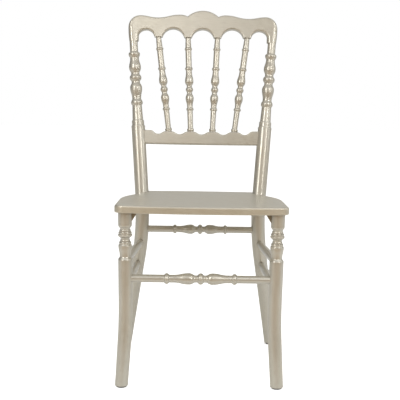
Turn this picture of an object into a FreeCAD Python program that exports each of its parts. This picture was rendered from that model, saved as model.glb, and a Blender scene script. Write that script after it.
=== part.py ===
import FreeCAD, Part
import math
import os

# A Napoleon chair of turned and shaped hardwood, in millimetres.
# The chair faces -Y and stands on z = 0, with +Z up. The origin is on the floor under its middle.
# Left (-X) and right (+X) are as seen by someone who stands in front of the chair.

Vec = FreeCAD.Vector
SIDES = {"left": -1, "right": 1}
SAME_POINT = 0.05
BISECTIONS = 60

# Seat board
seat_height = 440.0
seat_thickness = 18.8
seat_front_y = -228.6
seat_front_bow = 16.0
seat_half_width = 208.0
seat_corner_radius = 24.0
seat_side_straight_end_y = -50.0
seat_side_radius = 255.0
seat_rear_y = 181.4
seat_rear_bow = 8.0
seat_rear_corner_radius = 10.0
seat_top_round = 5.0
seat_bottom_round = 3.0

# Back: the posts, spindles and rails lie on one raked plane that starts at the seat's top
back_rake_degrees = 7.0
back_curve_radius = 1318.0
post_seat_x = 162.0
post_seat_y = 141.4
post_top_x = 191.5
post_diameter = 37.4
post_housing_depth = 8.7
post_tenon_diameter = 14.0
post_tenon_length = 22.0

# Share of a swell that is hollow, in all the turnings
swell_hollow = 0.3

# Turning marks of a post: distance above the seat along the post, and diameter
post_shoulder_start = 180.5
post_shoulder_end = 184.5
post_collar_diameter = 33.4
post_collar_end = 195.0
post_cone_start = 199.0
post_cone_diameter = 29.2
post_low_ring = 245.4
post_low_ring_half = 8.0
post_low_ring_base = 26.2
post_low_ring_diameter = 32.3
post_low_neck = 257.0
post_low_neck_diameter = 24.5
post_low_vase = 286.4
post_low_vase_diameter = 33.1
post_bead = 314.8
post_bead_half = 10.9
post_bead_diameter = 32.4
post_bead_neck_gap = 1.6
post_bead_neck_diameter = 23.2
post_high_vase = 343.4
post_high_vase_diameter = 32.8
post_high_neck = 369.0
post_high_neck_diameter = 24.3
post_high_ring = 380.8
post_high_ring_half = 7.0
post_high_ring_diameter = 31.4
post_top_diameter = 22.3

# Rear legs, which are the posts below the seat
rear_knee_drop = 90.0
rear_bend_radius = 430.0
rear_foot_x = 207.0
rear_foot_y = 203.9
rear_foot_diameter = 31.0

# Crest rail: heights are measured up the back from the bottom of its end lugs
crest_height = 416.0
crest_thickness = 24.0
crest_edge_round = 4.0
crest_end_lug_width = 28.8
crest_lug_rise = 14.2
crest_inner_lug_width = 20.8
crest_outer_lug_width = 22.4
crest_middle_arch = 37.2
crest_second_arch = 37.6
crest_outer_arch = 32.6
crest_outer_arch_spring = 15.0
crest_peak = 88.8
crest_notch_x = 42.8
crest_notch = 72.2
crest_inner_hump_x = 62.0
crest_inner_hump = 76.6
crest_dip_x = 128.2
crest_dip = 66.8
crest_end_radius = 34.1
crest_end_taper = 3.0
crest_end_edge_round = 11.0
crest_end_hump = 71.0

# Lower back rail: heights are measured up the back from the seat's top
rail_bottom = 132.0
rail_end_top = 170.6
rail_spindle_top = 168.4
rail_scoop = 160.8
rail_spindle_flat = 14.0
rail_end_flat = 30.6
rail_thickness = 20.0
rail_edge_round = 3.5
rail_tenon_depth = 15.0
rail_tenon_height = 26.0
rail_tenon_thickness = 10.0

# Back spindles: pitch along the lower rail and along the crest, and each spindle's place in pitches
SPINDLE_STEPS = (-1.5, -0.5, 0.5, 1.5)
spindle_low_pitch = 60.5
spindle_high_pitch = 82.0
spindle_tenon_diameter = 10.0
spindle_tenon_length = 14.0

# Turning marks of a spindle: distance above the lower rail along the spindle, and diameter
spindle_base_diameter = 17.0
spindle_base_bead = 4.9
spindle_base_bead_half = 3.5
spindle_base_bead_diameter = 19.6
spindle_low_diameter = 14.4
spindle_low_ring = 62.4
spindle_ring_half = 4.1
spindle_ring_diameter = 20.2
spindle_low_ring_base = 15.3
spindle_low_neck = 71.0
spindle_low_neck_diameter = 15.6
spindle_low_vase = 93.3
spindle_low_vase_diameter = 22.4
spindle_bead = 116.9
spindle_bead_half = 8.2
spindle_bead_diameter = 20.2
spindle_bead_neck_gap = 1.4
spindle_bead_neck_diameter = 14.1
spindle_high_vase = 139.5
spindle_high_vase_diameter = 23.3
spindle_high_neck = 164.0
spindle_high_neck_diameter = 16.8
spindle_middle_ring = 175.2
spindle_middle_ring_half = 4.6
spindle_middle_ring_base = 16.2
spindle_middle_ring_diameter = 21.2
spindle_high_diameter = 16.4
spindle_high_ring = 230.3
spindle_top_diameter = 13.4

# Front legs
front_leg_x = 183.0
front_leg_y = -188.6
front_leg_tenon_diameter = 20.0
front_leg_tenon_length = 14.0
front_knee_x = 179.6
front_knee_y = -186.6
front_knee_z = 150.0
front_bend_radius = 600.0
front_bend_diameter = 33.2
front_foot_x = 187.4
front_foot_y = -207.2
front_foot_diameter = 31.3

# Turning marks of a front leg: distance below the seat along the leg, and diameter
leg_top_diameter = 33.4
leg_block_end = 30.7
leg_block_diameter = 33.0
leg_high_waist = 40.8
leg_high_waist_diameter = 24.1
leg_ridge_pitch = 4.9
leg_ridge_rise = 0.5
leg_bead_ridge = 44.7
leg_bead_ridge_base = 26.6
leg_bead_ridge_step = 4.2
leg_bead = 53.9
leg_bead_diameter = 34.6
leg_low_waist = 65.1
leg_low_waist_diameter = 21.6
leg_vase_ridge = 68.8
leg_vase_ridge_base = 23.4
leg_vase_ridge_step = 5.2
leg_vase = 79.7
leg_vase_diameter = 32.6
leg_neck = 106.2
leg_neck_diameter = 26.4
leg_shoulder = 114.8
leg_shoulder_diameter = 34.2

# Stretchers: marks are measured from the middle of each, and drops from the seat's top to the axis;
# the front stretcher stands above the lower side stretchers, so that their tenons miss each other in the leg
front_stretcher_rise = 20.5
front_stretcher_diameter = 18.9
front_stretcher_bead_diameter = 27.6
front_stretcher_bead_half = 9.2
front_stretcher_neck = 12.4
front_stretcher_neck_diameter = 17.4
front_stretcher_vase = 28.4
front_stretcher_vase_diameter = 27.8
front_stretcher_vase_end = 66.0
front_stretcher_ring = 81.6
front_stretcher_ring_half = 7.2
front_stretcher_ring_diameter = 26.6

rear_stretcher_drop = 102.1
rear_stretcher_diameter = 18.0
rear_stretcher_bead_diameter = 27.0
rear_stretcher_bead_half = 8.0
rear_stretcher_neck = 11.2
rear_stretcher_neck_diameter = 16.2
rear_stretcher_vase = 25.0
rear_stretcher_vase_diameter = 26.4
rear_stretcher_vase_end = 56.0
rear_stretcher_ring = 69.4
rear_stretcher_ring_half = 5.6
rear_stretcher_ring_diameter = 24.8

side_stretcher_upper_drop = 138.0
side_stretcher_lower_drop = 199.0
side_stretcher_end_diameter = 16.0
side_stretcher_middle_diameter = 21.0
side_stretcher_plain_end = 4.0

stretcher_tenon_depth = 13.0

# Corner blocks under the seat, behind the front legs
block_reach = 13.5
block_drop = 21.5
block_depth = 24.0
block_front_offset = 2.0

# Hardware
seat_screw_diameter = 5.0
seat_screw_head_diameter = 9.0
seat_screw_head_length = 3.0
seat_screw_grip = 26.0
plug_diameter = 11.0
plug_depth = 8.0
block_screw_diameter = 4.0
block_screw_head_diameter = 7.6
block_screw_head_length = 2.4
block_screw_sink = 3.0
block_screw_grip = 12.0
block_screw_x_offset = 9.0
block_screw_y_offset = 20.0
glide_diameter = 25.0
glide_height = 4.0
glide_edge_round = 1.2
nail_diameter = 2.6
nail_head_diameter = 8.0
nail_head_length = 1.2
nail_length = 18.0
nail_cover = 1.5

# Fits: glued joints and screw holes stand off by the first, blind holes are deeper by the second
joint_clearance = 0.1
blind_clearance = 0.4

# Lengths worked out from the sizes above
seat_underside = seat_height - seat_thickness
rear_stretcher_z = seat_height - rear_stretcher_drop
side_stretcher_upper_z = seat_height - side_stretcher_upper_drop
side_stretcher_lower_z = seat_height - side_stretcher_lower_drop
front_stretcher_z = side_stretcher_lower_z + front_stretcher_rise
back_placement = FreeCAD.Placement(
    Vec(0, post_seat_y, seat_height), FreeCAD.Rotation(Vec(1, 0, 0), -back_rake_degrees))


def ogee(here, there, share=0.5):
    """S-curve of two arcs that leaves and arrives along the first axis of (along, across) points.

    Share is the part of the way that the first arc takes.
    """
    run = there[0] - here[0]
    rise = there[1] - here[1]
    slope = math.atan2(rise, abs(run))
    way = math.copysign(1.0, run)
    sagitta = math.hypot(run, rise) / 2 * math.tan(slope / 2)
    bulge = (way * math.sin(slope) * sagitta, math.cos(slope) * sagitta)
    turn = (here[0] + run * share, here[1] + rise * share)
    first = (here[0] + run * share / 2 + bulge[0] * share, here[1] + rise * share / 2 - bulge[1] * share)
    rest = 1 - share
    second = (there[0] - run * rest / 2 - bulge[0] * rest, there[1] - rise * rest / 2 + bulge[1] * rest)
    return [(here, first, turn), (turn, second, there)]


def arc_from_apex(apex, end):
    """Arc that leaves its apex along the first axis of (along, across) points and passes through the end."""
    run = end[0] - apex[0]
    rise = end[1] - apex[1]
    radius = (run * run + rise * rise) / (2 * abs(rise))
    half_angle = math.atan2(abs(rise), abs(run))
    along = math.copysign(radius * math.sin(half_angle), run)
    across = math.copysign(radius * (1 - math.cos(half_angle)), rise)
    return (apex, (apex[0] + along, apex[1] + across), end)


def swap_axes(piece):
    return tuple((across, along) for along, across in piece)


def reverse_path(path):
    return [tuple(reversed(piece)) for piece in reversed(path)]


def mirror_path(path):
    """Whole path from its half: the half is walked back mirrored in the first axis, then forwards."""
    mirrored = [tuple((-along, across) for along, across in piece) for piece in reverse_path(path)]
    return mirrored + path


def path_edges(path, place):
    """Edges of a path: two points make a line, three an arc; place turns a point into a vector."""
    edges = []
    for piece in path:
        points = [place(point) for point in piece]
        if len(points) == 2:
            edges.append(Part.makeLine(*points))
        else:
            edges.append(Part.Arc(*points).toShape())
    return edges


def turning_path(start, moves):
    """Path of (along, radius) points that a turner's gauge follows from a start of (along, diameter).

    A line goes straight to the mark, an ogee curves there, a swell is an ogee that is mostly round and
    has a small hollow at its narrow end, and a bead crowns at the mark and ends at its mirror image of
    where it began.
    """
    here = (start[0], start[1] / 2)
    path = []
    for shape, along, diameter in moves:
        there = (along, diameter / 2)
        if shape == "line":
            path.append((here, there))
        elif shape == "ogee":
            path.extend(ogee(here, there))
        elif shape == "swell":
            path.extend(ogee(here, there, swell_hollow if here[1] < there[1] else 1 - swell_hollow))
        else:
            crown = there
            there = (2 * along - here[0], here[1])
            path.append((here, crown, there))
        here = there
    return path


def turned_solid(path):
    """Solid of revolution about Z from a path of (along, radius) points."""
    first = path[0][0]
    last = path[-1][-1]
    closing = [((last[0], last[1]), (last[0], 0.0)), ((last[0], 0.0), (first[0], 0.0)),
               ((first[0], 0.0), (first[0], first[1]))]
    wire = Part.Wire(path_edges(path + closing, lambda point: Vec(point[1], 0, point[0])))
    return Part.Face(wire).revolve(Vec(0, 0, 0), Vec(0, 0, 1), 360)


def along_axis(shape, base, direction):
    """The shape with its Z axis laid along the direction from the base."""
    placed = shape.copy()
    placed.Placement = FreeCAD.Placement(base, FreeCAD.Rotation(Vec(0, 0, 1), direction))
    return placed


def joined(shapes):
    return shapes[0].fuse(shapes[1:]).removeSplitter()


def back_slab(low, high):
    """Everything between two heights measured up the back."""
    reach = 2 * post_top_x
    slab = Part.makeBox(2 * reach, 2 * reach, high - low, Vec(-reach, -reach, low))
    slab.Placement = back_placement.multiply(slab.Placement)
    return slab


class BentLeg:
    """A round leg whose straight upper part bends through one arc into a straight tapered lower part."""

    def __init__(self, head, knee, foot, bend_radius, bend_diameter, foot_diameter):
        self.head = head
        self.foot = foot
        self.up = (head - knee).normalize()
        self.down = (foot - knee).normalize()
        self.turn = math.pi - self.up.getAngle(self.down)
        reach = bend_radius * math.tan(self.turn / 2)
        self.bend_start = knee + self.up * reach
        self.bend_end = knee + self.down * reach
        middle = (self.up + self.down).normalize()
        self.centre = knee + middle * (bend_radius / math.cos(self.turn / 2))
        self.axis = (self.bend_start - self.centre).cross(self.bend_end - self.centre).normalize()
        self.bend_diameter = bend_diameter
        self.taper = (bend_diameter - foot_diameter) / (foot - self.bend_end).Length

    def point_at(self, height):
        """Point of the leg's centre line at a height above the floor."""
        if height >= self.bend_start.z:
            return self.bend_start + self.up * ((height - self.bend_start.z) / self.up.z)
        if height <= self.bend_end.z:
            return self.bend_end + self.down * ((height - self.bend_end.z) / self.down.z)
        low, high = 0.0, self.turn
        arm = self.bend_start - self.centre
        for _ in range(BISECTIONS):
            angle = (low + high) / 2
            point = self.centre + FreeCAD.Rotation(self.axis, math.degrees(angle)).multVec(arm)
            if point.z > height:
                low = angle
            else:
                high = angle
        return point

    def diameter_at(self, height):
        """Diameter at a height that lies on the bend or on the lower part."""
        if height >= self.bend_end.z:
            return self.bend_diameter
        return self.bend_diameter - self.taper * (self.point_at(height) - self.bend_end).Length

    def lower_part(self, grow=0.0):
        """The bend and the lower part, cut flat above the glide; grow is added to the radius."""
        radius = self.bend_diameter / 2 + grow
        section = Part.Face(Part.Wire(Part.makeCircle(radius, self.bend_start, self.up)))
        bend = section.revolve(self.centre, self.axis, math.degrees(self.turn))
        length = (self.foot - self.bend_end).Length + self.bend_diameter
        tip_radius = radius - self.taper * length / 2
        shank = Part.makeCone(radius, tip_radius, length, self.bend_end, self.down)
        size = 4 * self.bend_diameter
        corner = Vec(self.foot.x - size / 2, self.foot.y - size / 2, glide_height - size)
        return [bend, shank.cut(Part.makeBox(size, size, size, corner))]

    def round_bar(self, grow=0.0):
        """The leg as one plain round bar that runs on past the seat; grow is added to the radius."""
        length = (self.head - self.bend_start).Length + seat_height
        upper = Part.makeCylinder(self.bend_diameter / 2 + grow, length, self.bend_start, self.up)
        return [upper] + self.lower_part(grow)


def front_leg_line(side):
    head = Vec(side * front_leg_x, front_leg_y, seat_underside)
    knee = Vec(side * front_knee_x, front_knee_y, front_knee_z)
    foot = Vec(side * front_foot_x, front_foot_y, 0)
    return BentLeg(head, knee, foot, front_bend_radius, front_bend_diameter, front_foot_diameter)


def rear_leg_line(side):
    """The post's own axis, carried down below the seat to the knee and on to the rear foot."""
    head = back_placement.multVec(Vec(side * post_seat_x, 0, 0))
    top = back_placement.multVec(Vec(side * post_top_x, 0, crest_height))
    up = (top - head).normalize()
    knee = head - up * (rear_knee_drop / up.z)
    foot = Vec(side * rear_foot_x, rear_foot_y, 0)
    return BentLeg(head, knee, foot, rear_bend_radius, post_diameter, rear_foot_diameter)


FRONT_LEGS = {name: front_leg_line(side) for name, side in SIDES.items()}
REAR_LEGS = {name: rear_leg_line(side) for name, side in SIDES.items()}
POST_LENGTH = math.hypot(post_top_x - post_seat_x, crest_height)


def post_x(height_up_back):
    """Distance of a post's axis from the middle of the chair, at a height measured up the back."""
    return post_seat_x + (post_top_x - post_seat_x) * height_up_back / crest_height


def behind(x, half_span):
    """How far the curved back stands behind the line between posts that are half_span off the middle."""
    return math.sqrt(back_curve_radius ** 2 - x * x) - math.sqrt(back_curve_radius ** 2 - half_span ** 2)


RAIL_HALF_SPAN = post_x((rail_bottom + rail_end_top) / 2)


class SpindleLine:
    """Centre line of one back spindle, from the lower rail's top to the bottom of its lug on the crest."""

    def __init__(self, step):
        self.low_x = step * spindle_low_pitch
        self.high_x = step * spindle_high_pitch
        seat = Vec(self.low_x, behind(self.low_x, RAIL_HALF_SPAN), rail_spindle_top)
        self.base = back_placement.multVec(seat)
        lug = Vec(self.high_x, behind(self.high_x, post_top_x), crest_height + crest_lug_rise)
        self.end = back_placement.multVec(lug)
        self.direction = (self.end - self.base).normalize()
        self.length = (self.end - self.base).Length


SPINDLES = [SpindleLine(step) for step in SPINDLE_STEPS]


class StretcherLine:
    """Centre line of a stretcher between two legs, with its tenons sunk into both."""

    def __init__(self, leg_a, leg_b, height, end_diameter):
        axis_a = leg_a.point_at(height)
        axis_b = leg_b.point_at(height)
        self.direction = (axis_b - axis_a).normalize()
        inset_a = leg_a.diameter_at(height) / 2 - stretcher_tenon_depth
        inset_b = leg_b.diameter_at(height) / 2 - stretcher_tenon_depth
        self.start = axis_a + self.direction * inset_a
        self.end = axis_b - self.direction * inset_b
        self.middle = (self.start + self.end) * 0.5
        self.half = (self.end - self.start).Length / 2
        self.end_diameter = end_diameter

    def sockets(self):
        """Round blind holes that take the two tenons."""
        radius = self.end_diameter / 2 + joint_clearance
        length = stretcher_tenon_depth + self.end_diameter
        spare = self.direction * blind_clearance
        start = Part.makeCylinder(radius, length, self.start - spare, self.direction)
        end = Part.makeCylinder(radius, length, self.end + spare, self.direction * -1)
        return [start, end]


FRONT_STRETCHER = StretcherLine(
    FRONT_LEGS["left"], FRONT_LEGS["right"], front_stretcher_z, front_stretcher_diameter)
REAR_STRETCHER = StretcherLine(
    REAR_LEGS["left"], REAR_LEGS["right"], rear_stretcher_z, rear_stretcher_diameter)
SIDE_STRETCHERS = {
    (level, name): StretcherLine(FRONT_LEGS[name], REAR_LEGS[name], height, side_stretcher_end_diameter)
    for level, height in (("upper", side_stretcher_upper_z), ("lower", side_stretcher_lower_z))
    for name in SIDES
}


def sockets_in_leg(leg):
    """Every stretcher socket that is cut into this leg."""
    lines = [FRONT_STRETCHER, REAR_STRETCHER] + list(SIDE_STRETCHERS.values())
    sockets = []
    for line in lines:
        for socket, point in zip(line.sockets(), (line.start, line.end)):
            if (point - leg.point_at(point.z)).Length < leg.bend_diameter / 2:
                sockets.append(socket)
    return sockets


def rail_tenon(side, grow):
    """Flat tenon at one end of the lower back rail, in the frame of the back; grow widens it all round."""
    middle = (rail_bottom + rail_end_top) / 2
    shoulder = RAIL_HALF_SPAN - post_diameter / 2
    root = shoulder - rail_tenon_depth
    tip = shoulder + rail_tenon_depth + (blind_clearance if grow else 0)
    width = rail_tenon_thickness + 2 * grow
    height = rail_tenon_height + 2 * grow
    corner_y = behind(shoulder, RAIL_HALF_SPAN) - width / 2
    tenon = Part.makeBox(tip - root, width, height, Vec(root, corner_y, middle - height / 2))
    if side < 0:
        tenon = tenon.mirror(Vec(0, 0, 0), Vec(1, 0, 0))
    return tenon


def seat_screw_line(name):
    """Start, direction and length of the screw that holds a post to the seat, from its plug hole's bottom."""
    side = SIDES[name]
    centre = REAR_LEGS[name].point_at(seat_height - seat_thickness / 2)
    start = centre + Vec(side * (post_diameter / 2 - plug_depth), 0, 0)
    length = post_diameter - plug_depth + seat_screw_grip
    return start, Vec(-side, 0, 0), length


def block_screw_base(name):
    """Point on the underside of a corner block where its screw enters."""
    side = SIDES[name]
    x = side * (front_leg_x - block_screw_x_offset)
    return Vec(x, front_leg_y + block_screw_y_offset, seat_underside - block_drop)


def foot_line(leg):
    """Point on the floor under the middle of a foot's flat end."""
    middle = leg.point_at(glide_height)
    return Vec(middle.x, middle.y, 0)


ALL_FEET = {
    "front_left": FRONT_LEGS["left"], "front_right": FRONT_LEGS["right"],
    "rear_left": REAR_LEGS["left"], "rear_right": REAR_LEGS["right"],
}


def nail_hole(leg):
    radius = nail_diameter / 2 + joint_clearance
    return Part.makeCylinder(radius, nail_length + blind_clearance, foot_line(leg) + Vec(0, 0, nail_cover))


def tenon_hole(mouth, inward, diameter, length):
    """Blind hole for a round tenon; it starts a little outside so that it opens fully."""
    overrun = diameter / 2
    radius = diameter / 2 + joint_clearance
    return Part.makeCylinder(radius, overrun + length + blind_clearance, mouth - inward * overrun, inward)


def seat_board():
    """Board with a bowed front, round sides drawn in at the back, and housings for the posts."""
    tongue_x = post_seat_x - post_diameter / 2 + post_housing_depth
    drawn_in = seat_half_width - tongue_x
    reach = math.sqrt(seat_side_radius ** 2 - (seat_side_radius - drawn_in) ** 2)
    neck = (tongue_x, seat_side_straight_end_y + reach)
    half_angle = math.atan2(reach, seat_side_radius - drawn_in) / 2
    side_middle = (seat_half_width - seat_side_radius * (1 - math.cos(half_angle)),
                   seat_side_straight_end_y + seat_side_radius * math.sin(half_angle))
    front_corner = (seat_half_width, seat_front_y + seat_front_bow)
    rear_corner = (tongue_x, seat_rear_y - seat_rear_bow)
    side_start = (seat_half_width, seat_side_straight_end_y)
    half = [
        arc_from_apex((0.0, seat_front_y), front_corner),
        (front_corner, side_start),
        (side_start, side_middle, neck),
        (neck, rear_corner),
        tuple(reversed(arc_from_apex((0.0, seat_rear_y), rear_corner))),
    ]
    outline = half + [tuple((-x, y) for x, y in piece) for piece in reverse_path(half)]
    wire = Part.Wire(path_edges(outline, lambda point: Vec(point[0], point[1], seat_underside)))
    board = Part.Face(wire).extrude(Vec(0, 0, seat_thickness))

    def corner_edges(corner):
        def at_corner(vertex):
            return math.hypot(abs(vertex.X) - corner[0], vertex.Y - corner[1]) < SAME_POINT
        return [edge for edge in board.Edges if all(at_corner(vertex) for vertex in edge.Vertexes)]

    board = board.makeFillet(seat_corner_radius, corner_edges(front_corner))
    board = board.makeFillet(seat_rear_corner_radius, corner_edges(rear_corner))
    for height, radius in ((seat_height, seat_top_round), (seat_underside, seat_bottom_round)):
        rim = [edge for edge in board.Edges
               if all(abs(vertex.Z - height) < SAME_POINT for vertex in edge.Vertexes)]
        board = board.makeFillet(radius, rim)
    cutters = []
    for name, leg in REAR_LEGS.items():
        cutters += leg.round_bar(joint_clearance)
        start, direction, length = seat_screw_line(name)
        cutters.append(Part.makeCylinder(seat_screw_diameter / 2 + joint_clearance, length + blind_clearance,
                                         start, direction))
    for name, leg in FRONT_LEGS.items():
        cutters.append(tenon_hole(leg.head, leg.up, front_leg_tenon_diameter, front_leg_tenon_length))
        length = block_drop + block_screw_grip + blind_clearance
        radius = block_screw_diameter / 2 + joint_clearance
        cutters.append(Part.makeCylinder(radius, length, block_screw_base(name)))
    return board.cut(cutters)


def back_post(name):
    """Turned back post and rear leg in one piece, with a tenon on top and the holes that its joints need."""
    leg = REAR_LEGS[name]
    low_neck = post_bead - post_bead_half - post_bead_neck_gap
    high_neck = post_bead + post_bead_half + post_bead_neck_gap
    moves = [
        ("line", post_shoulder_start, post_diameter),
        ("ogee", post_shoulder_end, post_collar_diameter),
        ("line", post_collar_end, post_collar_diameter),
        ("ogee", post_cone_start, post_cone_diameter),
        ("line", post_low_ring - post_low_ring_half, post_low_ring_base),
        ("swell", post_low_ring, post_low_ring_diameter),
        ("swell", post_low_neck, post_low_neck_diameter),
        ("ogee", post_low_vase, post_low_vase_diameter),
        ("swell", low_neck, post_bead_neck_diameter),
        ("line", post_bead - post_bead_half, post_bead_neck_diameter),
        ("swell", post_bead, post_bead_diameter),
        ("swell", post_bead + post_bead_half, post_bead_neck_diameter),
        ("line", high_neck, post_bead_neck_diameter),
        ("swell", post_high_vase, post_high_vase_diameter),
        ("ogee", post_high_neck, post_high_neck_diameter),
        ("swell", post_high_ring, post_high_ring_diameter),
        ("swell", post_high_ring + post_high_ring_half, post_top_diameter),
        ("line", POST_LENGTH + post_top_diameter / 2, post_top_diameter),
    ]
    below_seat = (leg.bend_start - leg.head).dot(leg.up)
    path = turning_path((below_seat, post_diameter), moves)
    turned = along_axis(turned_solid(path), leg.head, leg.up)
    upper = turned.cut(back_slab(crest_height, crest_height + post_diameter))
    tenon_root = leg.head + leg.up * (POST_LENGTH - post_tenon_length)
    tenon = Part.makeCylinder(post_tenon_diameter / 2, 2 * post_tenon_length, tenon_root, leg.up)
    mortise = rail_tenon(SIDES[name], joint_clearance)
    mortise.Placement = back_placement.multiply(mortise.Placement)
    start, direction, length = seat_screw_line(name)
    screw_hole = Part.makeCylinder(seat_screw_diameter / 2 + joint_clearance, length, start, direction)
    head_seat = start + direction * seat_screw_head_length
    plug_radius = plug_diameter / 2 + joint_clearance
    plug_hole = Part.makeCylinder(plug_radius, post_diameter, head_seat, direction * -1)
    whole = joined([upper, tenon] + leg.lower_part())
    return whole.cut(sockets_in_leg(leg) + [mortise, screw_hole, plug_hole, nail_hole(leg)])


def with_rounded_edges(board, edges):
    """The board with edges rounded that are given by number, each from its first radius to its last."""
    document = FreeCAD.newDocument()
    sharp = document.addObject("Part::Feature", "sharp")
    sharp.Shape = board
    rounded = document.addObject("Part::Fillet", "rounded")
    rounded.Base = sharp
    rounded.Edges = edges
    document.recompute()
    shape = rounded.Shape.copy()
    FreeCAD.closeDocument(document.Name)
    return shape


def curved_board(path, thickness, half_span, rounding, in_joint):
    """Board of the outline path, curved to the back's radius with its ends on the line between the posts.

    The edges of its front and back are rounded by what rounding gives at each point of the outline.
    They stay sharp between points that in_joint names, because a joint covers them.
    """
    span = 2 * half_span
    wire = Part.Wire(path_edges(path, lambda point: Vec(point[0], -span / 2, point[1])))
    block = Part.Face(wire).extrude(Vec(0, span, 0))
    box = block.BoundBox
    axis_base = Vec(0, -math.sqrt(back_curve_radius ** 2 - half_span ** 2), box.ZMin - thickness)
    height = box.ZLength + 2 * thickness
    outer = Part.makeCylinder(back_curve_radius + thickness / 2, height, axis_base)
    inner = Part.makeCylinder(back_curve_radius - thickness / 2, height, axis_base)
    board = block.common(outer.cut(inner)).Solids[0]
    edges = []
    for number, edge in enumerate(board.Edges, start=1):
        ends = [vertex.Point for vertex in edge.Vertexes]
        depths = [math.hypot(end.x, end.y - axis_base.y) - back_curve_radius for end in ends]
        on_face = all(abs(abs(depth) - thickness / 2) < SAME_POINT for depth in depths)
        along_face = max(depths) - min(depths) < SAME_POINT
        covered = all(in_joint(end.x, end.z) for end in ends)
        if on_face and along_face and not covered:
            edges.append((number, rounding(ends[0].x, ends[0].z), rounding(ends[-1].x, ends[-1].z)))
    return with_rounded_edges(board, edges)


def crest_rail():
    """Top rail with a humped upper edge, five arches below, and lugs for the spindles and the posts."""
    lug_bottom = crest_height + crest_lug_rise
    inner_x = spindle_high_pitch / 2
    outer_x = 3 * spindle_high_pitch / 2
    inner_half = crest_inner_lug_width / 2
    outer_half = crest_outer_lug_width / 2
    end_inner_x = post_top_x - crest_end_lug_width / 2
    end_outer_x = post_top_x + crest_end_lug_width / 2
    second_x = (inner_x + inner_half + outer_x - outer_half) / 2
    peak = (0.0, crest_height + crest_peak)
    notch = (crest_notch_x, crest_height + crest_notch)
    inner_hump = (crest_inner_hump_x, crest_height + crest_inner_hump)
    dip = (crest_dip_x, crest_height + crest_dip)
    end_hump = (end_outer_x - crest_end_radius, crest_height + crest_end_hump)
    end_round = (end_outer_x, end_hump[1] - crest_end_radius)
    end_foot = (end_outer_x - crest_end_taper, crest_height)
    end_spring = (end_inner_x, crest_height + crest_outer_arch_spring)
    outer_arch = ((outer_x + outer_half + end_inner_x) / 2, crest_height + crest_outer_arch)
    second_arch = (second_x, crest_height + crest_second_arch)
    middle_arch = (0.0, crest_height + crest_middle_arch)
    half = [arc_from_apex(peak, notch)]
    half.append(tuple(reversed(arc_from_apex(inner_hump, notch))))
    half += ogee(inner_hump, dip)
    half += ogee(dip, end_hump)
    half.append(arc_from_apex(end_hump, end_round))
    half.append(swap_axes(arc_from_apex(*swap_axes((end_round, end_foot)))))
    half.append((end_foot, (end_inner_x, crest_height)))
    half.append(((end_inner_x, crest_height), end_spring))
    half.append(tuple(reversed(arc_from_apex(outer_arch, end_spring))))
    half.append(arc_from_apex(outer_arch, (outer_x + outer_half, lug_bottom)))
    half.append(((outer_x + outer_half, lug_bottom), (outer_x - outer_half, lug_bottom)))
    half.append(tuple(reversed(arc_from_apex(second_arch, (outer_x - outer_half, lug_bottom)))))
    half.append(arc_from_apex(second_arch, (inner_x + inner_half, lug_bottom)))
    half.append(((inner_x + inner_half, lug_bottom), (inner_x - inner_half, lug_bottom)))
    half.append(tuple(reversed(arc_from_apex(middle_arch, (inner_x - inner_half, lug_bottom)))))
    outline = half + [tuple((-x, z) for x, z in piece) for piece in reverse_path(half)]

    def rounding(x, height):
        on_end = abs(x) > end_hump[0] + SAME_POINT and height < end_round[1] + SAME_POINT
        return crest_end_edge_round if on_end else crest_edge_round

    def under_lug(x, height):
        return height < lug_bottom + SAME_POINT

    crest = curved_board(outline, crest_thickness, post_top_x, rounding, under_lug)
    crest.Placement = back_placement.multiply(crest.Placement)
    holes = []
    for leg in REAR_LEGS.values():
        mouth = leg.head + leg.up * POST_LENGTH
        holes.append(tenon_hole(mouth, leg.up, post_tenon_diameter, post_tenon_length))
    for line in SPINDLES:
        holes.append(tenon_hole(line.end, line.direction, spindle_tenon_diameter, spindle_tenon_length))
    return crest.cut(holes)


def lower_back_rail():
    """Lower rail with a scooped top edge, ends that fit the round posts, and a flat tenon at each end.

    Its bottom edge runs in short stretches between the spindles, so that the rounded edge meshes evenly.
    """
    flat = rail_spindle_flat / 2
    seats = sorted(line.low_x for line in SPINDLES if line.low_x > 0)
    end_flat = (RAIL_HALF_SPAN - rail_end_flat, rail_end_top)
    half = []
    here = (0.0, rail_scoop)
    for index, seat_x in enumerate(seats):
        half += ogee(here, (seat_x - flat, rail_spindle_top))
        half.append(((seat_x - flat, rail_spindle_top), (seat_x + flat, rail_spindle_top)))
        if index + 1 < len(seats):
            here = ((seat_x + seats[index + 1]) / 2, rail_scoop)
        else:
            here = ((seat_x + flat + end_flat[0]) / 2, rail_scoop)
        half += ogee((seat_x + flat, rail_spindle_top), here)
    half += ogee(here, end_flat)
    half.append((end_flat, (RAIL_HALF_SPAN, rail_end_top)))
    half.append(((RAIL_HALF_SPAN, rail_end_top), (RAIL_HALF_SPAN, rail_bottom)))
    stops = [RAIL_HALF_SPAN, end_flat[0]] + seats[::-1] + [0.0]
    for stop, following in zip(stops, stops[1:]):
        half.append(((stop, rail_bottom), (following, rail_bottom)))
    outline = half + [tuple((-x, z) for x, z in piece) for piece in reverse_path(half)]

    def rounding(x, height):
        return rail_edge_round

    def in_post(x, height):
        return abs(x) > RAIL_HALF_SPAN - SAME_POINT

    rail = curved_board(outline, rail_thickness, RAIL_HALF_SPAN, rounding, in_post)
    rail.Placement = back_placement.multiply(rail.Placement)
    posts = [Part.makeCylinder(post_diameter / 2 + joint_clearance, POST_LENGTH, leg.head, leg.up)
             for leg in REAR_LEGS.values()]
    tenons = [rail_tenon(side, 0.0) for side in SIDES.values()]
    for tenon in tenons:
        tenon.Placement = back_placement.multiply(tenon.Placement)
    holes = [tenon_hole(line.base, line.direction * -1, spindle_tenon_diameter, spindle_tenon_length)
             for line in SPINDLES]
    return rail.cut(posts).fuse(tenons).cut(holes)


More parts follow.
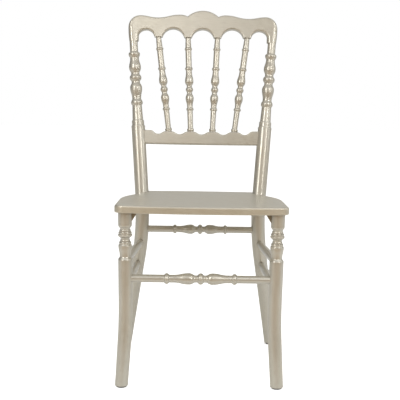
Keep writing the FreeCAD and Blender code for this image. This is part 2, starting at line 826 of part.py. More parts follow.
def back_spindle(line):
    """Turned spindle with a tenon at each end; its top stretch takes up the difference in length."""
    low_neck = spindle_bead - spindle_bead_half - spindle_bead_neck_gap
    high_neck = spindle_bead + spindle_bead_half + spindle_bead_neck_gap
    allowance = spindle_base_diameter / 2
    moves = [
        ("line", spindle_base_bead - spindle_base_bead_half, spindle_base_diameter),
        ("bead", spindle_base_bead, spindle_base_bead_diameter),
        ("line", spindle_base_bead + spindle_base_bead_half, spindle_low_diameter),
        ("line", spindle_low_ring - spindle_ring_half, spindle_low_ring_base),
        ("bead", spindle_low_ring, spindle_ring_diameter),
        ("ogee", spindle_low_neck, spindle_low_neck_diameter),
        ("ogee", spindle_low_vase, spindle_low_vase_diameter),
        ("swell", low_neck, spindle_bead_neck_diameter),
        ("line", spindle_bead - spindle_bead_half, spindle_bead_neck_diameter),
        ("swell", spindle_bead, spindle_bead_diameter),
        ("swell", spindle_bead + spindle_bead_half, spindle_bead_neck_diameter),
        ("line", high_neck, spindle_bead_neck_diameter),
        ("swell", spindle_high_vase, spindle_high_vase_diameter),
        ("ogee", spindle_high_neck, spindle_high_neck_diameter),
        ("line", spindle_middle_ring - spindle_middle_ring_half, spindle_middle_ring_base),
        ("bead", spindle_middle_ring, spindle_middle_ring_diameter),
        ("line", spindle_middle_ring + spindle_middle_ring_half, spindle_high_diameter),
        ("line", spindle_high_ring - spindle_ring_half, spindle_high_diameter),
        ("bead", spindle_high_ring, spindle_ring_diameter),
        ("line", line.length + allowance, spindle_top_diameter),
    ]
    path = turning_path((-allowance, spindle_base_diameter), moves)
    turned = along_axis(turned_solid(path), line.base, line.direction)
    body = turned.common(back_slab(rail_spindle_top, crest_height + crest_lug_rise))
    tenons = Part.makeCylinder(spindle_tenon_diameter / 2, line.length + 2 * spindle_tenon_length,
                               line.base - line.direction * spindle_tenon_length, line.direction)
    return joined([body, tenons])


def front_leg(name):
    """Turned front leg with a mild sabre bend, a tenon on top and its stretcher sockets."""
    leg = FRONT_LEGS[name]
    ridge = leg_ridge_pitch / 2
    vase_step = leg_vase_ridge_base + leg_vase_ridge_step
    bead_step = leg_bead_ridge_base + leg_bead_ridge_step
    crown = 2 * leg_ridge_rise
    moves = [
        ("line", -leg_shoulder, leg_shoulder_diameter),
        ("ogee", -leg_neck, leg_neck_diameter),
        ("ogee", -leg_vase, leg_vase_diameter),
        ("ogee", -leg_vase_ridge - leg_ridge_pitch - ridge, vase_step),
        ("bead", -leg_vase_ridge - leg_ridge_pitch, vase_step + crown),
        ("line", -leg_vase_ridge - ridge, leg_vase_ridge_base),
        ("bead", -leg_vase_ridge, leg_vase_ridge_base + crown),
        ("ogee", -leg_low_waist, leg_low_waist_diameter),
        ("ogee", -leg_bead, leg_bead_diameter),
        ("ogee", -leg_bead_ridge - leg_ridge_pitch - ridge, bead_step),
        ("bead", -leg_bead_ridge - leg_ridge_pitch, bead_step + crown),
        ("line", -leg_bead_ridge - ridge, leg_bead_ridge_base),
        ("bead", -leg_bead_ridge, leg_bead_ridge_base + crown),
        ("ogee", -leg_high_waist, leg_high_waist_diameter),
        ("ogee", -leg_block_end, leg_block_diameter),
        ("line", 0.0, leg_top_diameter),
        ("line", leg_top_diameter / 2, leg_top_diameter),
    ]
    below_seat = (leg.bend_start - leg.head).dot(leg.up)
    path = turning_path((below_seat, front_bend_diameter), moves)
    turned = along_axis(turned_solid(path), leg.head, leg.up)
    above = Part.makeBox(2 * leg_top_diameter, 2 * leg_top_diameter, leg_top_diameter,
                         leg.head - Vec(leg_top_diameter, leg_top_diameter, 0))
    tenon = Part.makeCylinder(front_leg_tenon_diameter / 2, 2 * front_leg_tenon_length,
                              leg.head - leg.up * front_leg_tenon_length, leg.up)
    whole = joined([turned.cut(above), tenon] + leg.lower_part())
    return whole.cut([nail_hole(leg)] + sockets_in_leg(leg))


def turned_stretcher(line, sizes):
    """Stretcher with a middle bead, a vase on each side of it and a ring further out."""
    moves = [
        ("swell", sizes["bead_half"], sizes["neck_diameter"]),
        ("line", sizes["neck"], sizes["neck_diameter"]),
        ("swell", sizes["vase"], sizes["vase_diameter"]),
        ("ogee", sizes["vase_end"], sizes["diameter"]),
        ("line", sizes["ring"] - sizes["ring_half"], sizes["diameter"]),
        ("swell", sizes["ring"], sizes["ring_diameter"]),
        ("swell", sizes["ring"] + sizes["ring_half"], sizes["diameter"]),
        ("line", line.half, sizes["diameter"]),
    ]
    path = turning_path((0.0, sizes["bead_diameter"]), moves)
    return along_axis(turned_solid(mirror_path(path)), line.middle, line.direction)


def side_stretcher(line):
    """Round stretcher with plain ends that swells towards its middle."""
    plain_start = (line.half - stretcher_tenon_depth - side_stretcher_plain_end, line.end_diameter / 2)
    swell = arc_from_apex((0.0, side_stretcher_middle_diameter / 2), plain_start)
    plain = (plain_start, (line.half, line.end_diameter / 2))
    return along_axis(turned_solid(mirror_path([swell, plain])), line.middle, line.direction)


def corner_block(name):
    """Bevelled block glued into the corner between a front leg and the seat, with a hole for its screw."""
    side = SIDES[name]
    tip_x = front_leg_x - leg_top_diameter / 2 - block_reach
    surface_x = front_leg_x - leg_top_diameter / 2
    low = seat_underside - block_drop
    corners = [(tip_x, seat_underside), (surface_x, low), (front_leg_x, low), (front_leg_x, seat_underside)]
    points = [Vec(side * x, front_leg_y - block_front_offset, z) for x, z in corners]
    block = Part.Face(Part.makePolygon(points + points[:1])).extrude(Vec(0, block_depth, 0))
    leg = FRONT_LEGS[name]
    beside_leg = Part.makeCylinder(leg_top_diameter / 2 + joint_clearance, 2 * block_drop + seat_thickness,
                                   leg.head - leg.up * 2 * block_drop, leg.up)
    base = block_screw_base(name)
    hole = Part.makeCylinder(block_screw_diameter / 2 + joint_clearance, block_drop, base)
    sink = Part.makeCylinder(block_screw_head_diameter / 2 + joint_clearance,
                             block_screw_sink + block_screw_head_length, base)
    return block.cut([beside_leg, hole, sink])


def headed_pin(base, direction, diameter, length, head_diameter, head_length):
    """Screw or nail with its head's outer face at the base."""
    head = Part.makeCylinder(head_diameter / 2, head_length, base, direction)
    shank = Part.makeCylinder(diameter / 2, length, base, direction)
    return joined([head, shank])


def corner_block_screws():
    screws = []
    for name in SIDES:
        base = block_screw_base(name) + Vec(0, 0, block_screw_sink)
        length = block_drop - block_screw_sink + block_screw_grip
        screws.append(headed_pin(base, Vec(0, 0, 1), block_screw_diameter, length,
                                 block_screw_head_diameter, block_screw_head_length))
    return Part.makeCompound(screws)


def seat_screws():
    screws = []
    for name in SIDES:
        start, direction, length = seat_screw_line(name)
        screws.append(headed_pin(start, direction, seat_screw_diameter, length,
                                 seat_screw_head_diameter, seat_screw_head_length))
    return Part.makeCompound(screws)


def seat_screw_plugs():
    """Wooden plugs over the seat screws, trimmed flush with the round posts."""
    plugs = []
    for name, leg in REAR_LEGS.items():
        start, direction, _ = seat_screw_line(name)
        plug = Part.makeCylinder(plug_diameter / 2, post_diameter, start, direction * -1)
        plugs.append(plug.common(joined(leg.round_bar())))
    return Part.makeCompound(plugs)


def foot_glide(leg):
    """Round pad under a foot, with a hidden hole for its nail."""
    base = foot_line(leg)
    pad = Part.makeCylinder(glide_diameter / 2, glide_height, base)
    rim = [edge for edge in pad.Edges if all(abs(vertex.Z) < SAME_POINT for vertex in edge.Vertexes)]
    pad = pad.makeFillet(glide_edge_round, rim)
    head = Part.makeCylinder(nail_head_diameter / 2 + joint_clearance, nail_head_length + joint_clearance,
                             base + Vec(0, 0, nail_cover - joint_clearance))
    return pad.cut([head, nail_hole(leg)])


def glide_nails():
    nails = []
    for leg in ALL_FEET.values():
        base = foot_line(leg) + Vec(0, 0, nail_cover)
        nails.append(headed_pin(base, Vec(0, 0, 1), nail_diameter, nail_length,
                                nail_head_diameter, nail_head_length))
    return Part.makeCompound(nails)


FRONT_STRETCHER_SIZES = {
    "diameter": front_stretcher_diameter,
    "bead_diameter": front_stretcher_bead_diameter, "bead_half": front_stretcher_bead_half,
    "neck": front_stretcher_neck, "neck_diameter": front_stretcher_neck_diameter,
    "vase": front_stretcher_vase, "vase_diameter": front_stretcher_vase_diameter,
    "vase_end": front_stretcher_vase_end, "ring": front_stretcher_ring,
    "ring_half": front_stretcher_ring_half, "ring_diameter": front_stretcher_ring_diameter,
}
REAR_STRETCHER_SIZES = {
    "diameter": rear_stretcher_diameter,
    "bead_diameter": rear_stretcher_bead_diameter, "bead_half": rear_stretcher_bead_half,
    "neck": rear_stretcher_neck, "neck_diameter": rear_stretcher_neck_diameter,
    "vase": rear_stretcher_vase, "vase_diameter": rear_stretcher_vase_diameter,
    "vase_end": rear_stretcher_vase_end, "ring": rear_stretcher_ring,
    "ring_half": rear_stretcher_ring_half, "ring_diameter": rear_stretcher_ring_diameter,
}


def build():
    """Every piece of the chair by the name of its node."""
    pieces = {
        "seat_board": seat_board(),
        "crest_rail": crest_rail(),
        "lower_back_rail": lower_back_rail(),
        "front_stretcher": turned_stretcher(FRONT_STRETCHER, FRONT_STRETCHER_SIZES),
        "rear_stretcher": turned_stretcher(REAR_STRETCHER, REAR_STRETCHER_SIZES),
        "corner_block_screws": corner_block_screws(),
        "seat_screws": seat_screws(),
        "seat_screw_plugs": seat_screw_plugs(),
        "glide_nails": glide_nails(),
    }
    for name in SIDES:
        pieces["back_post_" + name] = back_post(name)
        pieces["front_leg_" + name] = front_leg(name)
        pieces["corner_block_" + name] = corner_block(name)
    for (level, name), line in SIDE_STRETCHERS.items():
        pieces["side_stretcher_" + level + "_" + name] = side_stretcher(line)
    for number, line in enumerate(SPINDLES, start=1):
        pieces["back_spindle_" + str(number)] = back_spindle(line)
    for place, leg in ALL_FEET.items():
        pieces["foot_glide_" + place] = foot_glide(leg)
    return pieces


os.makedirs("parts", exist_ok=True)
for node, shape in build().items():
    shape.exportStep("parts/" + node + ".step")
    state = "valid" if shape.isValid() else "not valid"
    print(node, len(shape.Solids), "solids", round(shape.Volume), "mm3", state)
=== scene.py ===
import math

import bpy
from mathutils import Matrix, Vector

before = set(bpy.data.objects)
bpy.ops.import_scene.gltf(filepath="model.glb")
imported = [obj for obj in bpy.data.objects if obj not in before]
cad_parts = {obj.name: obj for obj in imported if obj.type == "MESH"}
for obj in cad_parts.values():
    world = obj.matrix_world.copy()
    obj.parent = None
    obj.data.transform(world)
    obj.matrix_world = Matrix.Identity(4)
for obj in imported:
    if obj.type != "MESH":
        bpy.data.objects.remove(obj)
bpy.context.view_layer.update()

# Camera: place in metres, angles in degrees, focal length in pixels of the picture
PICTURE_WIDTH = 400
CAMERA_PLACE = (-0.0249, -2.2624, 0.6645)
CAMERA_TURN = 0.562
CAMERA_DIP = 5.831
CAMERA_ROLL = 0.9
CAMERA_FOCUS = 875.3
SENSOR_WIDTH = 36.0

# Studio lamps: degrees to the right of the front, height and size in metres, power in watts, colour
LAMP_AIM = (0.0, 0.0, 0.6)
LAMP_DISTANCE = 2.2
LAMPS = {
    "left_strip": (-40, 1.45, (0.34, 1.60), 19.0, (1.0, 1.0, 0.99)),
    "right_strip": (40, 1.45, (0.34, 1.60), 12.5, (1.0, 1.0, 0.99)),
    "right_side": (82, 1.35, (0.40, 1.40), 5.5, (0.97, 0.99, 1.0)),
    "front_fill": (13, 1.65, (1.20, 1.10), 7.0, (0.97, 0.99, 1.0)),
}

# Room that the gloss reflects: linear colours, and where each begins and is full, as cosines from its way
ROOM_PALE = (0.46, 0.45, 0.425)
ROOM_CEILING = (0.70, 0.70, 0.69)
ROOM_BACK = (0.62, 0.60, 0.55)
ROOM_FRONT = (0.26, 0.18, 0.10)
ROOM_SHADE = (0.17, 0.17, 0.17)
CEILING_REACH = (0.55, 0.85)
FRONT_REACH = (0.86, 0.97)
BACK_REACH = (-0.80, -0.95)
SHADE_REACH = (0.55, 0.85)
FRONT_WAY = (0.0, -1.0, 0.0)
SHADE_WAY = (-0.9, 0.44, 0.0)
BACKDROP_WHITE = (1.0, 1.0, 1.0)

# Floor: sizes in metres, colours linear; ahead of the chair its reflection turns warm
FLOOR_HALF_SIZE = 30.0
FLOOR_COLOUR = (0.93, 0.93, 0.92)
FLOOR_WARM = (0.47, 0.33, 0.19)
FLOOR_WARM_REACH = (-0.45, -0.90)
FLOOR_GLOW = 0.05
FLOOR_PICTURE_GLOW = 0.68

# Lacquer colours, linear
PEARL = (0.545, 0.519, 0.453)
PEARL_WARM = (0.540, 0.504, 0.424)
# Lighter pearl for mottle and flakes; on edges it is rubbed wear and partly a painted highlight
PEARL_RUBBED_AND_HIGHLIGHT = (0.660, 0.630, 0.560)
# Dark brown for the grain lines, and painted shade in creases and joints
GRAIN_AND_CREASE_SHADE = (0.150, 0.118, 0.080)
# Warm tan on the seat's upright sides: a painted warm reflection
SEAT_SIDE_PAINTED_REFLECTION = (0.550, 0.500, 0.395)
# Darker pearl for the corner blocks under the seat: painted shade
BLOCK_PEARL_PAINTED_SHADE = (0.330, 0.295, 0.225)
BLOCK_WARM_PAINTED_SHADE = (0.300, 0.262, 0.190)

# Lacquer gloss, as shares of 1
METAL_SHARE = 0.58
METAL_SWING = 0.12
ROUGHNESS = 0.33
ROUGHNESS_SWING = 0.05
CREASE_DULLNESS = 0.22
EDGE_POLISH = 0.10
COAT_WEIGHT = 0.5
COAT_ROUGHNESS = 0.20
SEAT_COAT_ROUGHNESS = 0.34
SEAT_DULLNESS = 0.10

# Lacquer patterns per metre, the range of its noise or slope over which each comes in, and its full share
DRIFT_SCALE = 6.0
DRIFT_RANGE = (0.35, 0.65)
MOTTLE_SCALE = 55.0
MOTTLE_RANGE = (0.3, 0.7)
MOTTLE_SHARE = 0.10
MOTTLE_DETAIL = 3.0
FLAKE_SCALE = 2400.0
FLAKE_RANGE = (0.55, 1.0)
FLAKE_SHARE = 0.22
PEEL_SCALE = 420.0
PEEL_SHARE = 0.45
PEEL_DETAIL = 1.0
GRAIN_SCALE = 620.0
GRAIN_STRETCH = 0.045
GRAIN_DETAIL = 4.0
GRAIN_RANGE = (0.52, 0.72)
GRAIN_SHARE = 0.14
PORE_RANGE = (0.50, 0.72)
PORE_SHARE = 0.55
# Range of the normal's upward part over which upright sides take the painted reflection
SIDE_REFLECTION_SLOPE = (0.75, 0.25)
RELIEF_DEPTH = 0.000005

# Worn edges, partly painted highlight, and creases of painted shade: reach in metres, and the ranges over
# which the normals part and the sky closes
EDGE_REACH = 0.0016
EDGE_SAMPLES = 6
EDGE_PARTING = (0.985, 0.86)
EDGE_SKY = (0.45, 0.75)
EDGE_SHARE = 0.55
PATCH_RANGE = (0.35, 0.65)
PATCH_LEAST = 0.35
# Crease: where nearby surfaces close off the sky, the lacquer takes painted shade
CREASE_REACH = 0.014
CREASE_SAMPLES = 8
CREASE_SKY = (0.80, 0.22)
CREASE_SHARE = 0.62

# Foot glides and fasteners: linear colours, patterns per metre, depth in metres
PLASTIC = (0.030, 0.028, 0.026)
PLASTIC_SCUFFED = (0.110, 0.105, 0.098)
PLASTIC_ROUGHNESS = 0.50
STEEL = (0.560, 0.550, 0.530)
STEEL_BRIGHT = (0.720, 0.710, 0.690)
STEEL_ROUGHNESS = 0.30
# Colour mixed into glides and fasteners where nearby surfaces close off the sky
CORNER_TINT = (0.095, 0.085, 0.072)
CORNER_TINT_SHARE = 0.5
SCUFF_SCALE = 260.0
SCUFF_DETAIL = 4.0
SCUFF_RANGE = (0.50, 0.75)
SCUFF_SHARE = 0.5
SCUFF_EDGE_SHARE = 0.7
SCUFF_ROUGHNESS_RANGE = (0.3, 0.7)
SCUFF_ROUGHNESS_SWING = (-0.08, 0.12)
SCUFF_DEPTH = 0.00004


def opaque(colour):
    return (*colour, 1)


def new_group(name, inputs, outputs):
    """Empty shader node group with named sockets; each input and output is (name, kind)."""
    group = bpy.data.node_groups.new(name, "ShaderNodeTree")
    for direction, sockets in (("INPUT", inputs), ("OUTPUT", outputs)):
        for label, kind in sockets:
            group.interface.new_socket(label, in_out=direction, socket_type="NodeSocket" + kind)
    return group, group.nodes.new("NodeGroupInput").outputs, group.nodes.new("NodeGroupOutput").inputs


def put(tree, kind, inputs=None, **settings):
    """New shader node; inputs gives each socket, by name or number, a value or another node's output."""
    node = tree.nodes.new("ShaderNode" + kind)
    for name, value in settings.items():
        setattr(node, name, value)
    for socket, value in (inputs or {}).items():
        if isinstance(value, bpy.types.NodeSocket):
            tree.links.new(value, node.inputs[socket])
        else:
            node.inputs[socket].default_value = value
    return node


def calc(tree, operation, first, second):
    return put(tree, "Math", {0: first, 1: second}, operation=operation).outputs["Value"]


def dot(tree, first, second):
    return put(tree, "VectorMath", {0: first, 1: second}, operation="DOT_PRODUCT").outputs["Value"]


def axis(tree, vector, name):
    return put(tree, "SeparateXYZ", {0: vector}).outputs[name]


def spread(tree, value, reach, to_low=0.0, to_high=1.0):
    """Value carried from its reach, given as two ends, onto another range, and held at the ends."""
    low, high = reach
    sockets = {"Value": value, "From Min": low, "From Max": high, "To Min": to_low, "To Max": to_high}
    return put(tree, "MapRange", sockets).outputs["Result"]


def tint(tree, share, first, second):
    """First colour with a share of the second mixed in."""
    return put(tree, "Mix", {0: share, 6: first, 7: second}, data_type="RGBA").outputs[2]


def noise(tree, place, scale, detail=2.0):
    return put(tree, "TexNoise", {"Vector": place, "Scale": scale, "Detail": detail}).outputs["Fac"]


def wear_and_shade_masks_group():
    """Masks from the shape: Edge where a rounded normal leaves the true one, Crease where the sky closes,
    which carries painted shade.
    """
    tree, given, made = new_group(
        "wear_and_shade_masks", [("Place", "Vector")], [("Edge", "Float"), ("Crease", "Float")])
    rounded = put(tree, "Bevel", {"Radius": EDGE_REACH}, samples=EDGE_SAMPLES).outputs["Normal"]
    agree = dot(tree, rounded, put(tree, "NewGeometry").outputs["Normal"])
    sky = put(tree, "AmbientOcclusion", {"Distance": CREASE_REACH}, samples=CREASE_SAMPLES).outputs["AO"]
    edge = calc(tree, "MULTIPLY", spread(tree, agree, EDGE_PARTING), spread(tree, sky, EDGE_SKY))
    patchy = spread(tree, noise(tree, given["Place"], MOTTLE_SCALE), PATCH_RANGE, PATCH_LEAST)
    tree.links.new(calc(tree, "MULTIPLY", edge, patchy), made["Edge"])
    tree.links.new(spread(tree, sky, CREASE_SKY), made["Crease"])
    return tree


def pearl_tone_group():
    """Colour and metal share of the pearl lacquer: a slow drift, sprayed mottle, grain shadow, flakes, rubbed
    edges partly painted as highlight, and painted shade in creases.
    """
    tree, given, made = new_group(
        "pearl_tone",
        [("Place", "Vector"), ("Grain", "Vector"), ("Main", "Color"), ("Warm", "Color"), ("Rubbed_and_highlight", "Color"),
         ("Grain_and_shade", "Color"), ("Edge", "Float"), ("Crease", "Float")],
        [("Colour", "Color"), ("Metal", "Float")])
    drift = spread(tree, noise(tree, given["Place"], DRIFT_SCALE), DRIFT_RANGE)
    colour = tint(tree, drift, given["Main"], given["Warm"])
    mottle = spread(tree, noise(tree, given["Place"], MOTTLE_SCALE), MOTTLE_RANGE, 0.0, MOTTLE_SHARE)
    colour = tint(tree, mottle, colour, given["Rubbed_and_highlight"])
    lines = noise(tree, given["Grain"], GRAIN_SCALE, GRAIN_DETAIL)
    colour = tint(tree, spread(tree, lines, GRAIN_RANGE, 0.0, GRAIN_SHARE), colour, given["Grain_and_shade"])
    flakes = put(tree, "TexVoronoi", {"Vector": given["Place"], "Scale": FLAKE_SCALE}).outputs["Color"]
    flake = put(tree, "SeparateColor", {"Color": flakes}).outputs["Red"]
    colour = tint(tree, spread(tree, flake, FLAKE_RANGE, 0.0, FLAKE_SHARE), colour, given["Rubbed_and_highlight"])
    # Edges: rubbed wear, and partly a painted highlight along open edges
    colour = tint(tree, calc(tree, "MULTIPLY", given["Edge"], EDGE_SHARE), colour, given["Rubbed_and_highlight"])
    # Painted shade: creases and joints darkened towards a dark brown
    colour = tint(tree, calc(tree, "MULTIPLY", given["Crease"], CREASE_SHARE), colour, given["Grain_and_shade"])
    metal = spread(tree, flake, (0.0, 1.0), METAL_SHARE - METAL_SWING, METAL_SHARE + METAL_SWING)
    tree.links.new(colour, made["Colour"])
    tree.links.new(metal, made["Metal"])
    return tree


def film_relief_group():
    """Height and roughness of the sprayed film: orange peel, filled pores along the grain, dull patches."""
    tree, given, made = new_group(
        "film_relief",
        [("Place", "Vector"), ("Grain", "Vector"), ("Dull", "Float"), ("Edge", "Float"), ("Crease", "Float")],
        [("Height", "Float"), ("Roughness", "Float")])
    peel = calc(tree, "MULTIPLY", noise(tree, given["Place"], PEEL_SCALE, PEEL_DETAIL), PEEL_SHARE)
    lines = noise(tree, given["Grain"], GRAIN_SCALE, GRAIN_DETAIL)
    pores = spread(tree, lines, PORE_RANGE, 0.0, PORE_SHARE)
    tree.links.new(calc(tree, "SUBTRACT", peel, pores), made["Height"])
    patches = noise(tree, given["Place"], MOTTLE_SCALE, MOTTLE_DETAIL)
    dull = spread(tree, patches, MOTTLE_RANGE, ROUGHNESS - ROUGHNESS_SWING, ROUGHNESS + ROUGHNESS_SWING)
    dull = calc(tree, "ADD", dull, given["Dull"])
    dull = calc(tree, "ADD", dull, calc(tree, "MULTIPLY", given["Crease"], CREASE_DULLNESS))
    dull = calc(tree, "SUBTRACT", dull, calc(tree, "MULTIPLY", given["Edge"], EDGE_POLISH))
    tree.links.new(dull, made["Roughness"])
    return tree


def handled_group():
    """Colour, roughness and height of a plain hard surface: scuffs, bright edges, and a set colour where the
    sky closes.
    """
    tree, given, made = new_group(
        "handled",
        [("Place", "Vector"), ("Main", "Color"), ("Scuffed", "Color"), ("Gloss", "Float"), ("Edge", "Float"),
         ("Crease", "Float")],
        [("Colour", "Color"), ("Roughness", "Float"), ("Height", "Float")])
    scuff = noise(tree, given["Place"], SCUFF_SCALE, SCUFF_DETAIL)
    colour = tint(tree, spread(tree, scuff, SCUFF_RANGE, 0.0, SCUFF_SHARE), given["Main"], given["Scuffed"])
    colour = tint(tree, calc(tree, "MULTIPLY", given["Edge"], SCUFF_EDGE_SHARE), colour, given["Scuffed"])
    # A set colour mixed in where nearby surfaces close off the sky
    colour = tint(tree, calc(tree, "MULTIPLY", given["Crease"], CORNER_TINT_SHARE), colour, opaque(CORNER_TINT))
    swing = spread(tree, scuff, SCUFF_ROUGHNESS_RANGE, *SCUFF_ROUGHNESS_SWING)
    tree.links.new(colour, made["Colour"])
    tree.links.new(calc(tree, "ADD", given["Gloss"], swing), made["Roughness"])
    tree.links.new(scuff, made["Height"])
    return tree


def blank(name):
    """New material, its node tree, its surface shader, the place on the piece, and its masks for worn edges
    and painted shade.
    """
    material = bpy.data.materials.new(name)
    material.use_nodes = True
    tree = material.node_tree
    place = put(tree, "TexCoord").outputs["Object"]
    wear_and_shade = put(tree, "Group", {"Place": place}, node_tree=wear_and_shade_masks).outputs
    return material, tree, tree.nodes["Principled BSDF"], place, wear_and_shade


def lacquer(name, along, main=PEARL, warm=PEARL_WARM, painted_side_reflection=None, sheen=COAT_ROUGHNESS, dull=0.0):
    """Pearl lacquer on wood whose grain runs along x, y or z; upright sides can take a painted warm
    reflection.
    """
    material, tree, shader, place, wear_and_shade = blank(name)
    stretch = [GRAIN_STRETCH if letter == along else 1.0 for letter in "xyz"]
    grain = put(tree, "Mapping", {"Vector": place, "Scale": stretch}).outputs["Vector"]
    masks = {"Place": place, "Grain": grain, "Edge": wear_and_shade["Edge"], "Crease": wear_and_shade["Crease"]}
    colours = {"Main": opaque(main), "Warm": opaque(warm)}
    if painted_side_reflection:
        # Painted warm reflection on the upright sides
        side = spread(tree, axis(tree, put(tree, "NewGeometry").outputs["Normal"], "Z"), SIDE_REFLECTION_SLOPE)
        colours = {label: tint(tree, side, colour, opaque(painted_side_reflection)) for label, colour in colours.items()}
    colours["Rubbed_and_highlight"] = opaque(PEARL_RUBBED_AND_HIGHLIGHT)
    colours["Grain_and_shade"] = opaque(GRAIN_AND_CREASE_SHADE)
    tone = put(tree, "Group", {**masks, **colours}, node_tree=pearl_tone).outputs
    film = put(tree, "Group", {**masks, "Dull": dull}, node_tree=film_relief).outputs
    bump = put(tree, "Bump", {"Height": film["Height"], "Distance": RELIEF_DEPTH, "Strength": 1.0})
    tree.links.new(tone["Colour"], shader.inputs["Base Color"])
    tree.links.new(tone["Metal"], shader.inputs["Metallic"])
    tree.links.new(film["Roughness"], shader.inputs["Roughness"])
    tree.links.new(bump.outputs["Normal"], shader.inputs["Normal"])
    shader.inputs["Coat Weight"].default_value = COAT_WEIGHT
    shader.inputs["Coat Roughness"].default_value = sheen
    return material


def hardware(name, main, scuffed, gloss, metallic):
    """Bare plastic or steel with scuffs, and a set colour where the sky closes."""
    material, tree, shader, place, wear_and_shade = blank(name)
    sockets = {"Place": place, "Main": opaque(main), "Scuffed": opaque(scuffed), "Gloss": gloss,
               "Edge": wear_and_shade["Edge"], "Crease": wear_and_shade["Crease"]}
    surface = put(tree, "Group", sockets, node_tree=handled).outputs
    bump = put(tree, "Bump", {"Height": surface["Height"], "Distance": SCUFF_DEPTH, "Strength": 1.0})
    tree.links.new(surface["Colour"], shader.inputs["Base Color"])
    tree.links.new(surface["Roughness"], shader.inputs["Roughness"])
    tree.links.new(bump.outputs["Normal"], shader.inputs["Normal"])
    shader.inputs["Metallic"].default_value = metallic
    return material


def lamp(name, azimuth, height, size, power, colour):
    """Soft rectangular lamp on a ring about the chair, turned to it."""
    data = bpy.data.lights.new(name, "AREA")
    data.shape = "RECTANGLE"
    data.size, data.size_y = size
    data.energy = power
    data.color = colour
    turn = math.radians(azimuth)
    place = Vector((LAMP_DISTANCE * math.sin(turn), -LAMP_DISTANCE * math.cos(turn), height))
    holder = bpy.data.objects.new(name, data)
    holder.location = place
    holder.rotation_euler = (Vector(LAMP_AIM) - place).to_track_quat("-Z", "Y").to_euler()
    bpy.context.scene.collection.objects.link(holder)


def room():
    """White backdrop behind the chair, and the room that the gloss reflects.

    The room is pale with a bright ceiling and back wall, dim and warm behind the camera, and shaded at left.
    """
    world = bpy.data.worlds.new("room")
    world.use_nodes = True
    tree = world.node_tree
    way = put(tree, "TexCoord").outputs["Generated"]
    front = dot(tree, way, FRONT_WAY)
    above = spread(tree, axis(tree, way, "Z"), CEILING_REACH)
    around = tint(tree, above, opaque(ROOM_PALE), opaque(ROOM_CEILING))
    around = tint(tree, spread(tree, front, FRONT_REACH), around, opaque(ROOM_FRONT))
    around = tint(tree, spread(tree, front, BACK_REACH), around, opaque(ROOM_BACK))
    around = tint(tree, spread(tree, dot(tree, way, SHADE_WAY), SHADE_REACH), around, opaque(ROOM_SHADE))
    straight = put(tree, "LightPath").outputs["Is Camera Ray"]
    seen = tint(tree, straight, around, opaque(BACKDROP_WHITE))
    tree.links.new(seen, tree.nodes["Background"].inputs["Color"])
    bpy.context.scene.world = world


def floor():
    """Pale floor that runs into the backdrop; it glows a little, as lit paper does, and more in the picture.

    The gloss also reflects a warm floor ahead of the chair, which no picture shows.
    """
    half = FLOOR_HALF_SIZE
    corners = [(-half, -half, 0), (half, -half, 0), (half, half, 0), (-half, half, 0)]
    mesh = bpy.data.meshes.new("floor")
    mesh.from_pydata(corners, [], [(0, 1, 2, 3)])
    material = bpy.data.materials.new("floor")
    material.use_nodes = True
    tree = material.node_tree
    shader = tree.nodes["Principled BSDF"]
    shader.inputs["Roughness"].default_value = 1.0
    shader.inputs["Specular IOR Level"].default_value = 0.0
    shader.inputs["Emission Color"].default_value = (1, 1, 1, 1)
    straight = put(tree, "LightPath").outputs["Is Camera Ray"]
    ahead = spread(tree, axis(tree, put(tree, "TexCoord").outputs["Object"], "Y"), FLOOR_WARM_REACH)
    colour = tint(tree, ahead, opaque(FLOOR_COLOUR), opaque(FLOOR_WARM))
    tree.links.new(tint(tree, straight, colour, opaque(FLOOR_COLOUR)), shader.inputs["Base Color"])
    glow = spread(tree, straight, (0.0, 1.0), FLOOR_GLOW, FLOOR_PICTURE_GLOW)
    tree.links.new(glow, shader.inputs["Emission Strength"])
    mesh.materials.append(material)
    plane = bpy.data.objects.new("floor", mesh)
    bpy.context.scene.collection.objects.link(plane)


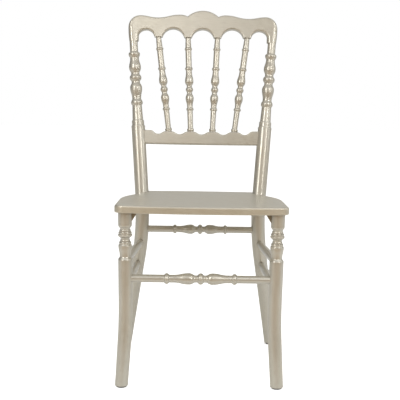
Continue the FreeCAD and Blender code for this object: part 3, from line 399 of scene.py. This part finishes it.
def camera():
    """Camera at the picture's viewing point: turned about the upright, dipped below level, then rolled."""
    data = bpy.data.cameras.new("camera")
    data.sensor_width = SENSOR_WIDTH
    data.lens = CAMERA_FOCUS / PICTURE_WIDTH * SENSOR_WIDTH
    holder = bpy.data.objects.new("camera", data)
    turn = Matrix.Rotation(-math.radians(CAMERA_TURN), 4, "Z")
    dip = Matrix.Rotation(math.radians(90 - CAMERA_DIP), 4, "X")
    roll = Matrix.Rotation(math.radians(CAMERA_ROLL), 4, "Z")
    holder.matrix_world = Matrix.Translation(CAMERA_PLACE) @ turn @ dip @ roll
    bpy.context.scene.collection.objects.link(holder)
    bpy.context.scene.camera = holder


wear_and_shade_masks = wear_and_shade_masks_group()
pearl_tone = pearl_tone_group()
film_relief = film_relief_group()
handled = handled_group()
upright = lacquer("lacquer_upright", "z")
crosswise = lacquer("lacquer_crosswise", "x")
lengthwise = lacquer("lacquer_lengthwise", "y")
seat = lacquer("lacquer_seat", "x", painted_side_reflection=SEAT_SIDE_PAINTED_REFLECTION, sheen=SEAT_COAT_ROUGHNESS, dull=SEAT_DULLNESS)
# The corner blocks take the darker pearl as painted shade
block = lacquer("lacquer_block_painted_shade", "x", BLOCK_PEARL_PAINTED_SHADE, BLOCK_WARM_PAINTED_SHADE)
plastic = hardware("glide_plastic_scuffed", PLASTIC, PLASTIC_SCUFFED, PLASTIC_ROUGHNESS, metallic=0.0)
steel = hardware("screw_steel_plated", STEEL, STEEL_BRIGHT, STEEL_ROUGHNESS, metallic=1.0)

# Pieces not named here are posts, legs and spindles, whose grain stands upright
FINISHES = {
    "seat_board": seat,
    "crest_rail": crosswise,
    "lower_back_rail": crosswise,
    "front_stretcher": crosswise,
    "rear_stretcher": crosswise,
    "side_stretcher_upper_left": lengthwise,
    "side_stretcher_lower_left": lengthwise,
    "side_stretcher_upper_right": lengthwise,
    "side_stretcher_lower_right": lengthwise,
    "seat_screw_plugs": lengthwise,
    "corner_block_left": block,
    "corner_block_right": block,
    "foot_glide_front_left": plastic,
    "foot_glide_front_right": plastic,
    "foot_glide_rear_left": plastic,
    "foot_glide_rear_right": plastic,
    "corner_block_screws": steel,
    "seat_screws": steel,
    "glide_nails": steel,
}
for name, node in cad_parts.items():
    node.material_slots[0].material = FINISHES.get(name, upright)

camera()
room()
floor()
for name, settings in LAMPS.items():
    lamp(name, *settings)
bpy.context.scene.view_settings.view_transform = "Standard"
